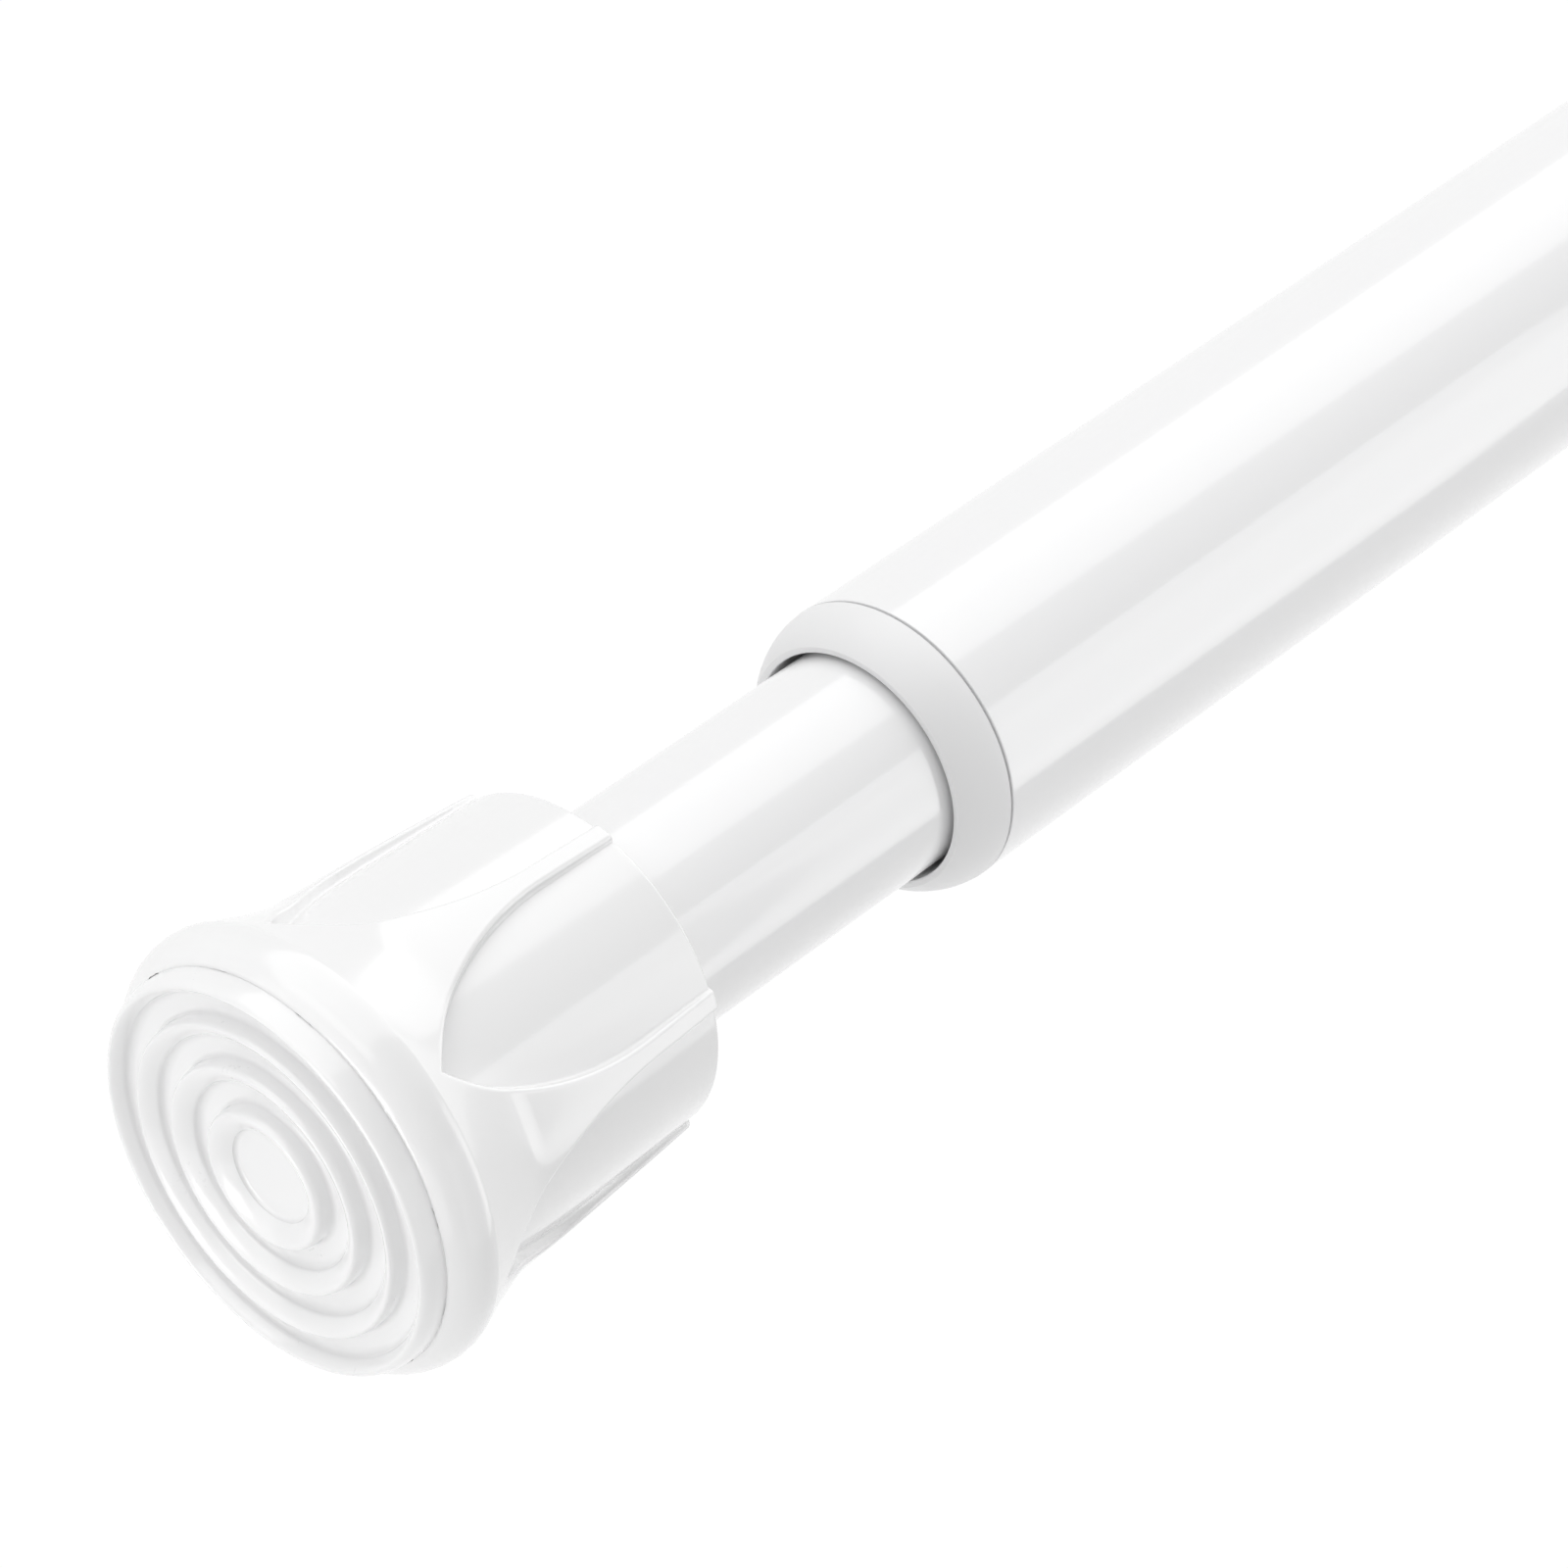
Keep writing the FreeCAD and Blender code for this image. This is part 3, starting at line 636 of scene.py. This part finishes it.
@dataclass
class Foot:
    """An end cap with its soft pad."""

    end: End
    body: str
    finishes: Finishes
    shaper: Shaper
    cap: CapShape = field(default_factory=CapShape)
    pad: PadShape = field(default_factory=PadShape)

    def build(self) -> list[bpy.types.Object]:
        """Build the cap and the pad in the places of their plain solids."""
        made = []
        for piece, part, slot in (
            (self.make_cap(), "end_cap", "cap_plastic"),
            (self.make_pad(), "foot_pad", "pad_rubber"),
        ):
            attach(piece, self.body)
            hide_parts(f"{self.end.value}_{part}")
            made.append(piece)
        return made

    def outside(self) -> list[Point]:
        """Outer profile of the cap, from the lip to the open end."""
        c = self.cap
        centre_r = c.rim_r - c.rim_arc_r
        centre_x = c.lip_x + math.sqrt(c.rim_arc_r ** 2 - (c.recess_r - centre_r) ** 2)
        crease_x = centre_x + c.crease_run
        crease = (crease_x, centre_r + math.sqrt(c.rim_arc_r ** 2 - c.crease_run ** 2))
        neck_foot = (c.shoulder_x - c.foot_run, c.shoulder_r + c.foot_rise)
        foot_middle = (c.shoulder_x - c.foot_run / 2, c.shoulder_r + c.foot_sag)
        shoulder = (c.shoulder_x, c.shoulder_r)
        end_x = c.lip_x + c.length
        body_middle = ((c.shoulder_x + end_x) / 2, (c.shoulder_r + c.end_r) / 2 + c.crown)
        lip_r = c.recess_r + c.lip_round
        lip_x = centre_x - math.sqrt(c.rim_arc_r ** 2 - (lip_r - centre_r) ** 2)
        rim = arc_points((lip_x, lip_r), (centre_x, c.rim_r), crease, 22)
        neck = [
            (
                crease[0] + (neck_foot[0] - crease[0]) * t,
                crease[1] + (neck_foot[1] - crease[1]) * t - c.neck_sag * 4 * t * (1 - t),
            )
            for t in (0.012, *[k / 18 for k in range(1, 18)], 0.985)
        ]
        foot = arc_points(neck_foot, foot_middle, shoulder, 9)
        body = arc_points(shoulder, body_middle, (end_x, c.end_r), 48)
        return rim + neck + foot + body[1:]

    def arch_circle(self) -> Point:
        """Half width of a panel and the radius of the arcs that close it."""
        c = self.cap
        half = math.radians(c.panel_half_deg) * c.panel_ref_r
        run = c.panel_spring_x - c.panel_tip_x
        return half, (run ** 2 + half ** 2) / (2 * half)

    def arch(self, x: float, offset: float) -> float:
        """Half width of a panel at x, with its outline moved outwards by an offset."""
        c = self.cap
        half, radius = self.arch_circle()
        if x >= c.panel_spring_x:
            return half + offset
        inside = (radius + offset) ** 2 - (c.panel_spring_x - x) ** 2
        return max(0.0, half - radius + math.sqrt(inside)) if inside > 0 else 0.0

    def arch_tip(self, offset: float) -> float:
        """Where the offset outline's point lies along the rod."""
        c = self.cap
        half, radius = self.arch_circle()
        return c.panel_spring_x - math.sqrt((radius + offset) ** 2 - (radius - half) ** 2)

    def middle_offset(self, x: float) -> float:
        """Offset of the outline whose point lies at x on a panel's middle line."""
        c = self.cap
        if x >= c.panel_spring_x:
            return -math.inf
        half, radius = self.arch_circle()
        return math.hypot(radius - half, c.panel_spring_x - x) - radius

    def height(self, x: float, outer: float, offset: float, low_side: bool) -> float:
        """Radius of the cap's skin at a distance from a panel's outline.

        Args:
            x: Place along the rod.
            outer: Radius of the skin outside the panels.
            offset: Distance outwards from the outline.
            low_side: Whether a place on the outline belongs to the foot of the wall.

        Returns:
            The radius there.
        """
        c = self.cap
        floor = min(outer, c.floor_end_r + c.floor_draft * (c.lip_x + c.length - x))
        top, bottom = c.edge_round, c.floor_round
        middle = (outer - top + floor + bottom) / 2
        if offset >= top:
            return outer
        if offset <= -bottom:
            return floor
        if offset > 0 or (offset == 0 and not low_side):
            drop = top - math.sqrt(max(0.0, top ** 2 - (top - offset) ** 2))
            return max(outer - drop, min(outer, max(middle, floor)))
        rise = bottom - math.sqrt(max(0.0, bottom ** 2 - (bottom + offset) ** 2))
        return min(floor + rise, max(floor, middle))

    def columns(self) -> list[tuple[str, float]]:
        """Columns of half a panel pitch, from the panel's middle to the rib's."""
        top, bottom = self.cap.edge_round, self.cap.floor_round
        inner = [("floor", k / 7) for k in range(7)] + [("floor", 0.985)]
        low = [("low", -bottom * math.cos(t)) for t in quarter(18)]
        high = [("high", top * (1 - math.cos(t))) for t in quarter(15)]
        rib = [("rib", t) for t in (0.03, 0.2, 0.4, 0.6, 0.8, 1.0)]
        return inner + low + high + rib

    def make_cap(self) -> bpy.types.Object:
        """Cap with gothic panels, rounded panel edges and a rounded open end."""
        c = self.cap
        end_x = c.lip_x + c.length
        profile = self.outside()
        columns = self.columns()
        tips = [self.arch_tip(offset) for kind, offset in columns if kind in ("low", "high")]
        xs = [x for x, _ in profile]
        for x in sorted(set(round(t, 6) for t in tips)):
            k = bisect.bisect(xs, x)
            if min(abs(x - xs[k - 1]), abs(x - xs[k])) > c.closest_rows:
                t = (x - xs[k - 1]) / (xs[k] - xs[k - 1])
                profile.insert(k, (x, profile[k - 1][1] + t * (profile[k][1] - profile[k - 1][1])))
                xs.insert(k, x)
        rows = [(x, r, 0.0) for x, r in profile if x < end_x - c.end_round - c.end_clear]
        (near_x, near_r), (last_x, last_r) = profile[-3], profile[-1]
        for t in quarter(18):
            x = end_x - c.end_round * (1 - math.sin(t))
            r = c.end_r + (end_x - x) * (near_r - last_r) / (last_x - near_x)
            rows.append((x, r, c.end_round * (1 - math.cos(t))))
        pitch = 2 * math.pi / c.panel_count
        ring: list[tuple[int, float, int]] = []
        for p in range(c.panel_count):
            for k in range(len(columns) - 1, -1, -1):
                ring.append((p, -1.0, k))
            for k in range(1, len(columns) - 1):
                ring.append((p, 1.0, k))
        vertices: list[Triple] = []
        grid: list[list[int]] = []
        for x, outer, drop in rows:
            grid.append([])
            last_angles = []
            for p, side, k in ring:
                arc, radius = self.column_place(x, outer, columns[k], pitch)
                angle = math.radians(c.first_panel_deg) + p * pitch + side * arc
                last_angles.append(angle)
                grid[-1].append(len(vertices))
                r = radius - drop
                vertices.append((x, r * math.cos(angle), r * math.sin(angle)))
        back = [
            *((end_x + run, c.socket_r + rise) for run, rise in c.socket_edge),
            (c.socket_x, c.socket_r),
            (c.socket_x, c.stem_hole_r),
            (c.recess_x, c.stem_hole_r),
            (c.recess_x, c.recess_r),
            *((c.lip_x + run, c.recess_r + rise) for run, rise in c.lip_edge),
        ]
        for x, r in back:
            grid.append([])
            for angle in last_angles:
                grid[-1].append(len(vertices))
                vertices.append((x, r * math.cos(angle), r * math.sin(angle)))
        faces = []
        count = len(ring)
        for low, high in zip(grid, grid[1:] + grid[:1]):
            for k in range(count):
                n = (k + 1) % count
                faces.append((low[k], high[k], high[n], low[n]))
        vertices, faces = merged(vertices, faces)
        name = f"{self.end.value}_cap_moulding"
        return self.shaper.object(name, vertices, faces, self.finishes.cap, self.end, 50.0)

    def column_place(
        self, x: float, outer: float, column: tuple[str, float], pitch: float
    ) -> Point:
        """Angle from the panel's middle and radius of one column at x.

        Args:
            x: Place along the rod.
            outer: Radius of the skin outside the panels.
            column: The column's kind and its value.
            pitch: Angle between two panels.

        Returns:
            The angle in radians and the radius.
        """
        c = self.cap
        kind, value = column
        middle = self.middle_offset(x)
        if kind == "floor":
            arc = value * self.arch(x, -c.floor_round)
            return arc / c.panel_ref_r, self.height(x, outer, max(-c.floor_round, middle), True)
        if kind in ("low", "high"):
            arc = self.arch(x, value)
            offset = max(value, middle)
            return arc / c.panel_ref_r, self.height(x, outer, offset, kind == "low")
        edge = self.arch(x, c.edge_round) / c.panel_ref_r
        return edge + value * (pitch / 2 - edge), outer

    def cove(self, inner: float, low_x: float) -> list[Triple]:
        """Hollow that leads from the pad's floor up to a bead's inner edge.

        Args:
            inner: Radius of the bead's inner edge.
            low_x: Depth of the floor before it.

        Returns:
            The corners (x, r, radius) of its section.
        """
        p = self.pad
        sweep = p.cove_r if low_x > p.disc_x else low_x - p.step_x
        return [
            (low_x - sweep * (1 - math.cos(t)), inner - sweep * (1 - math.sin(t)), 0.0)
            for t in quarter(9)
        ]

    def bead(self, inner: float, outer: float) -> list[Triple]:
        """Rounded top of a bead, from its inner edge over the crest to its outer wall.

        Args:
            inner: Radius of the bead's inner edge.
            outer: Radius of its outer wall.

        Returns:
            The corners (x, r, radius) of its section.
        """
        p = self.pad
        last = outer >= p.radius
        crest_r = inner + (p.last_crest_share if last else p.crest_share) * (outer - inner)
        rise = [k / 14 for k in range(13, 0, -1)]
        drop = p.step_x - p.crest_x
        flank = [
            (p.crest_x + drop * u ** p.flank_power, crest_r - (crest_r - inner) * u, 0.0) for u in rise
        ]
        shoulder_x = p.last_shoulder_x if last else p.shoulder_x
        deep, wide = shoulder_x - p.crest_x, outer - (0.0 if last else p.draft) - crest_r
        round_off = [
            (p.crest_x + deep * (1 - math.cos(t)), crest_r + wide * math.sin(t), 0.0)
            for t in quarter(6)
        ]
        return flank + round_off

    def make_pad(self) -> bpy.types.Object:
        """Soft pad with concentric beads, a barbed stem and a flat back."""
        p = self.pad
        corners: list[Triple] = [(p.disc_x, 0.0, 0.0)]
        inner = p.disc_r
        for k in range(p.beads):
            width = p.first_width - p.taper * k
            outer = p.radius if k == p.beads - 1 else inner + width
            corners += self.cove(inner, p.disc_x if k == 0 else p.floor_x)
            corners += self.bead(inner, outer)
            if k < p.beads - 1:
                corners.append((p.floor_x, outer, p.foot_round))
            inner = outer + p.floor_width
        corners.append((p.back_x, p.radius, 0.1))
        corners.append((p.back_x, p.stem_r, 0.0))
        corners.append((p.barb_x, p.stem_r, 0.0))
        corners.append((p.barb_x, p.barb_r, 0.05))
        corners.append((p.stem_end_x, p.nose_r, 0.3))
        corners.append((p.stem_end_x, 0.0, 0.0))
        profile = rounded(corners)
        name = f"{self.end.value}_pad_moulding"
        return self.shaper.lathe(name, profile, self.finishes.pad, self.end, closed=False)


def merged(
    vertices: Sequence[Triple], faces: Sequence[Sequence[int]]
) -> tuple[list[Triple], list[list[int]]]:
    """Merge vertices that coincide and drop the faces that this empties.

    Args:
        vertices: Places in millimetres.
        faces: Corner indices.

    Returns:
        The vertices and faces that are left.
    """
    seen: dict[tuple[int, ...], int] = {}
    kept: list[Triple] = []
    to: list[int] = []
    for x, y, z in vertices:
        key = tuple(round(value * MERGE_STEPS_PER_MM) for value in (x, y, z))
        if key not in seen:
            seen[key] = len(kept)
            kept.append((x, y, z))
        to.append(seen[key])
    out = []
    for face in faces:
        corners = [to[i] for i in face]
        ring = [a for a, b in zip(corners, corners[1:] + corners[:1]) if a != b]
        if len(ring) > 2 and len(set(ring)) == len(ring):
            out.append(ring)
    return kept, out


# The tubes


@dataclass
class Tubes:
    """The two telescoping tubes and the collar at the wide tube's mouth."""

    finishes: Finishes
    shaper: Shaper
    outer_r: float = 12.7
    outer_bore: float = 12.0
    inner_r: float = 9.8
    inner_bore: float = 9.1
    inner_start: float = 6.3
    inner_end: float = 286.5
    outer_end: float = 399.7
    seam_x: float = 70.04
    mouth_x: float = 65.7
    mouth_r: float = 10.26
    land_r: float = 9.88
    collar_end: float = 86.0
    crimp_places: tuple[float, float] = (202.95, 278.0)
    crimp_depth: float = 0.5
    crimp_half: float = 1.5
    crimp_floor_half: float = 0.5
    slot: float = 0.16
    nose_start: float = 0.54
    nose_middle: Point = (1.6, 0.7)
    nose_steps: int = 22
    mouth_lip: float = 0.3
    plug_play: float = 0.05
    land_start: float = 6.3
    mouth_end: float = 5.3

    def build(self) -> list[bpy.types.Object]:
        """Build the tubes and the collar in the places of their plain solids."""
        made = []
        for piece, node, body, slot in (
            (self.thin_tube(), "inner_tube", "inner_rod", "tube_paint"),
            (self.wide_tube(), "outer_tube", "outer_rod", "tube_paint"),
            (self.collar(), "mouth_collar", "outer_rod", "collar_plastic"),
        ):
            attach(piece, body)
            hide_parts(node)
            made.append(piece)
        return made

    def crimp(self, x: float, r: float) -> list[Triple]:
        """Corners of a rolled groove about x."""
        deep = r - self.crimp_depth
        wide, narrow = self.crimp_half, self.crimp_floor_half
        return [(x - wide, r, 0.6), (x - narrow, deep, 0.5), (x + narrow, deep, 0.5), (x + wide, r, 0.6)]

    def thin_tube(self) -> bpy.types.Object:
        """Thin tube with its two rolled grooves."""
        outside: list[Triple] = [(self.inner_start, self.inner_r, 0.0)]
        inside: list[Triple] = [(self.inner_start, self.inner_bore, 0.0)]
        for x in self.crimp_places:
            outside.extend(self.crimp(x, self.inner_r))
            inside.extend(self.crimp(x, self.inner_bore))
        outside.append((self.inner_end, self.inner_r, 0.15))
        inside.append((self.inner_end, self.inner_bore, 0.15))
        profile = rounded(outside + inside[::-1])
        return self.shaper.lathe("thin_tube_enamelled", profile, self.finishes.enamel)

    def wide_tube(self) -> bpy.types.Object:
        """Wide tube with a rounded edge at the collar's seam."""
        corners = [
            (self.outer_end, self.outer_bore, 0.0),
            (self.seam_x + self.slot, self.outer_bore, 0.1),
            (self.seam_x + self.slot, self.outer_r, 0.1),
            (self.outer_end, self.outer_r, 0.0),
        ]
        return self.shaper.lathe("wide_tube_enamelled", rounded(corners), self.finishes.enamel)

    def collar(self) -> bpy.types.Object:
        """Collar with a rounded nose, a wider mouth and a plug inside the tube."""
        nose = arc_points(
            (self.mouth_x, self.mouth_r + self.nose_start),
            (self.mouth_x + self.nose_middle[0], self.outer_r - self.nose_middle[1]),
            (self.seam_x - self.slot, self.outer_r),
            self.nose_steps,
        )
        plug = self.outer_bore - self.plug_play
        lip = (self.mouth_x, self.mouth_r + self.mouth_lip, 0.0)
        corners = [lip] + [(x, r, 0.0) for x, r in nose]
        corners += [
            (self.seam_x - self.slot * 0.6, self.outer_r - 0.05, 0.0),
            (self.seam_x - self.slot * 0.6, plug, 0.0),
            (self.collar_end, plug, 0.2),
            (self.collar_end, self.land_r, 0.1),
            (self.mouth_x + self.land_start, self.land_r, 0.3),
            (self.mouth_x + self.mouth_end, self.mouth_r, 0.3),
            (self.mouth_x, self.mouth_r, 0.2),
            lip,
        ]
        return self.shaper.lathe("collar_moulding", rounded(corners)[:-1], self.finishes.collar)


# Inside the tubes


@dataclass
class LockAndSpring:
    """The coiled spring, and the finishes of its bearings and of the twist lock's solids."""

    finishes: Finishes
    shaper: Shaper
    nodes: dict[str, bpy.types.Object]
    spring_x: float = 209.95
    spring_length: float = 50.0
    pressed_share: float = 0.5
    coil_r: float = 7.3
    wire_r: float = 0.7
    ground: float = 0.35
    open_turns: int = 6
    closed_pitch: float = 1.55
    steps_per_turn: int = 60
    wire_sides: int = 18

    def coil_place(self, turns: float) -> float:
        """Distance of the wire's centre from the coil's first face after so many turns."""
        first = self.wire_r - self.ground
        total = self.open_turns + 2
        pitch = (self.spring_length - 2 * first - 2 * self.closed_pitch) / self.open_turns
        if turns <= 1:
            return first + self.closed_pitch * turns
        if turns >= total - 1:
            return self.spring_length - first - self.closed_pitch * (total - turns)
        return first + self.closed_pitch + pitch * (turns - 1)

    def coil(self) -> bpy.types.Object:
        """Spring of round wire with closed ends that are ground flat."""
        sides = self.wire_sides
        rings = (self.open_turns + 2) * self.steps_per_turn + 1
        low, high = self.spring_x, self.spring_x + self.spring_length
        vertices: list[Triple] = []
        for k in range(rings):
            turns = k / self.steps_per_turn
            angle = 2 * math.pi * turns
            middle = self.spring_x + self.coil_place(turns)
            for j in range(sides):
                round_wire = 2 * math.pi * j / sides
                r = self.coil_r + self.wire_r * math.cos(round_wire)
                x = min(high, max(low, middle + self.wire_r * math.sin(round_wire)))
                vertices.append((x, r * math.sin(angle), r * math.cos(angle)))
        faces: list[Sequence[int]] = [list(range(sides - 1, -1, -1))]
        for k in range(rings - 1):
            for j in range(sides):
                a, b = k * sides + j, k * sides + (j + 1) % sides
                faces.append((a, b, b + sides, a + sides))
        faces.append([(rings - 1) * sides + j for j in range(sides)])
        piece = self.shaper.object("coiled_spring_wire", vertices, faces, self.finishes.spring)
        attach(piece, "inner_rod")
        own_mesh(piece)
        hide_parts("compression_spring")
        return piece

    def build(self) -> list[bpy.types.Object]:
        """Coil the spring and dress each hidden solid with its finish."""
        f = self.finishes
        looks = {
            "reducer_sleeve": f.sleeve,
            **dict.fromkeys(("spring_seat", "end_bush", "spring_cup", "lock_spindle"), f.lock),
            "drag_ring": f.drag,
            "cam_ring": f.cam,
            "cam_grip_ring": f.grip,
            **dict.fromkeys(("seat_washer", "thrust_washer", "retaining_washer"), f.plated),
            **dict.fromkeys(("cup_screw", "retaining_screw"), f.plated),
        }
        for name, material in looks.items():
            node = self.nodes[name]
            for slot in node.material_slots:
                slot.material = material
        return [self.coil()] + [self.nodes[name] for name in looks]


# Studio


class Facing(Enum):
    """Which way a softbox shines, with the directions of its width and its height."""

    DOWN = ((1.0, 0.0, 0.0), (0.0, 1.0, 0.0))
    BACK = ((1.0, 0.0, 0.0), (0.0, 0.0, 1.0))
    ALONG = ((0.0, -1.0, 0.0), (0.0, 0.0, 1.0))
    RETURN = ((0.0, 1.0, 0.0), (0.0, 0.0, 1.0))


@dataclass(frozen=True)
class Softbox:
    """A rectangular lamp: where its middle is, which way it shines, its size and its radiance."""

    name: str
    middle: Triple
    facing: Facing
    width: float
    height: float
    radiance: float

    def build(self) -> bpy.types.Object:
        """Hang the lamp."""
        lamp = bpy.data.lights.new(self.name, "AREA")
        lamp.shape = "RECTANGLE"
        lamp.size = self.width
        lamp.size_y = self.height
        lamp.energy = self.radiance * math.pi * self.width * self.height
        made = bpy.data.objects.new(self.name, lamp)
        made.visible_camera = False
        bpy.context.scene.collection.objects.link(made)
        across, rise = (Vector(way) for way in self.facing.value)
        turn = Matrix((across, rise, across.cross(rise))).transposed()
        made.matrix_world = Matrix.Translation(self.middle) @ turn.to_4x4()
        return made


@dataclass
class Studio:
    """Camera, pale floor and backdrop, world and lamps."""

    camera_place: Triple = (-0.20847, -0.23923, 0.28878)
    camera_right: Triple = (0.66914, -0.74313, 0.0)
    camera_up: Triple = (0.46357, 0.41741, 0.78158)
    lens_mm: float = 133.97
    sensor_mm: float = 36.0
    floor_z: float = -0.8
    floor_size: float = 8.0
    floor_share: float = 0.9
    floor_glow: float = 1.05
    ambient: float = 0.385
    lamps: tuple[Softbox, ...] = (
        Softbox("overhead_softbox", (1.225, 0.32, 1.0), Facing.DOWN, 3.35, 1.3, 1.26),
        Softbox("overhead_end_softbox", (-0.85, 0.25, 1.0), Facing.DOWN, 0.7, 1.3, 1.3),
        Softbox("side_strip", (1.0, -1.0, -0.06), Facing.BACK, 0.5, 1.32, 1.6),
        Softbox("side_softbox", (0.9, -1.3, -0.175), Facing.BACK, 2.6, 1.15, 0.47),
        Softbox("end_softbox", (-1.25, 0.5, 0.125), Facing.ALONG, 1.2, 1.75, 0.5),
        Softbox("end_middle_softbox", (-1.2, 0.05, -0.08), Facing.ALONG, 0.6, 0.6, 3.2),
        Softbox("end_low_softbox", (-1.2, -0.6, -0.375), Facing.ALONG, 1.0, 0.75, 0.6),
        Softbox("far_softbox", (2.5, 0.0, 0.1), Facing.RETURN, 2.0, 1.4, 0.85),
    )

    def build(self) -> None:
        """Set up the whole studio."""
        self.camera()
        self.backdrop()
        self.world()
        for lamp in self.lamps:
            lamp.build()
        bpy.context.scene.view_settings.view_transform = "Standard"

    def camera(self) -> None:
        """Camera at the product shot's place and angle."""
        data = bpy.data.cameras.new("product_camera")
        data.lens = self.lens_mm
        data.sensor_width = self.sensor_mm
        data.clip_end = 50.0
        made = bpy.data.objects.new("product_camera", data)
        bpy.context.scene.collection.objects.link(made)
        right = Vector(self.camera_right).normalized()
        up = Vector(self.camera_up).normalized()
        back = right.cross(up).normalized()
        turn = Matrix((right, up, back)).transposed()
        made.matrix_world = Matrix.Translation(self.camera_place) @ turn.to_4x4()
        bpy.context.scene.camera = made

    def white_where_seen(self, tree: Tree, strength: float = 1.0) -> tuple[Sock, Sock]:
        """Emission that stands for the studio's white, and the mask of the rays that see it.

        Args:
            tree: The tree to add to.
            strength: Brightness of the white.

        Returns:
            The emission shader and the mask.
        """
        path = tree.add("ShaderNodeLightPath")
        direct = path.out("Is Camera Ray") + path.out("Is Glossy Ray")
        seen = (direct + path.out("Is Transmission Ray")).clamped()
        glow = tree.add("ShaderNodeEmission", None, {"Color": FULL_WHITE, "Strength": strength})
        return glow.out(0), seen

    def backdrop(self) -> None:
        """Pale flat floor, which also serves as the backdrop."""
        tree = Tree(bpy.data.materials.new("studio_paper"))
        glow, seen = self.white_where_seen(tree, self.floor_glow)
        paper = tree.add("ShaderNodeBsdfDiffuse", None, {"Color": (0.9, 0.9, 0.9, 1.0)}).out(0)
        inputs = {0: seen * self.floor_share, 1: paper, 2: glow}
        mixed = tree.add("ShaderNodeMixShader", None, inputs).out(0)
        tree.add("ShaderNodeOutputMaterial", None, {"Surface": mixed})
        half = self.floor_size / 2
        mesh = bpy.data.meshes.new("studio_floor")
        corners = [(-half, -half, 0), (half, -half, 0), (half, half, 0), (-half, half, 0)]
        mesh.from_pydata(corners, [], [(0, 1, 2, 3)])
        mesh.materials.append(tree.owner)
        floor = bpy.data.objects.new("studio_floor", mesh)
        floor.location = (0.2, 0.0, self.floor_z)
        bpy.context.scene.collection.objects.link(floor)

    def world(self) -> None:
        """Even soft light from all round, seen as white."""
        tree = Tree(bpy.data.worlds.new("studio_world"))
        path = tree.add("ShaderNodeLightPath")
        direct = path.out("Is Camera Ray")
        seen = direct.math("MAXIMUM", direct, path.out("Is Glossy Ray"))
        light, white = (
            tree.add("ShaderNodeBackground", None, {"Color": FULL_WHITE, "Strength": strength}).out(0)
            for strength in (self.ambient, 1.0)
        )
        mixed = tree.add("ShaderNodeMixShader", None, {0: seen, 1: light, 2: white}).out(0)
        tree.add("ShaderNodeOutputWorld", None, {"Surface": mixed})
        bpy.context.scene.world = tree.owner


def main() -> None:
    """Build the studio and dress the rod."""
    logging.basicConfig(level=logging.INFO, format="%(message)s")
    Studio().build()
    finishes = Finishes()
    shaper = Shaper(CAD_BOUNDS[1][0] / MM)
    assemblies: list[Callable[[], list[bpy.types.Object]]] = [
        Foot(End.THIN, "inner_rod", finishes, shaper).build,
        Foot(End.WIDE, "outer_rod", finishes, shaper).build,
        Tubes(finishes, shaper).build,
        LockAndSpring(finishes, shaper, frame["nodes"]).build,
    ]
    for build in assemblies:
        for piece in build():
            LOG.info("made %s with %d faces", piece.name, len(piece.data.polygons))


if __name__ == "__main__":
    main()
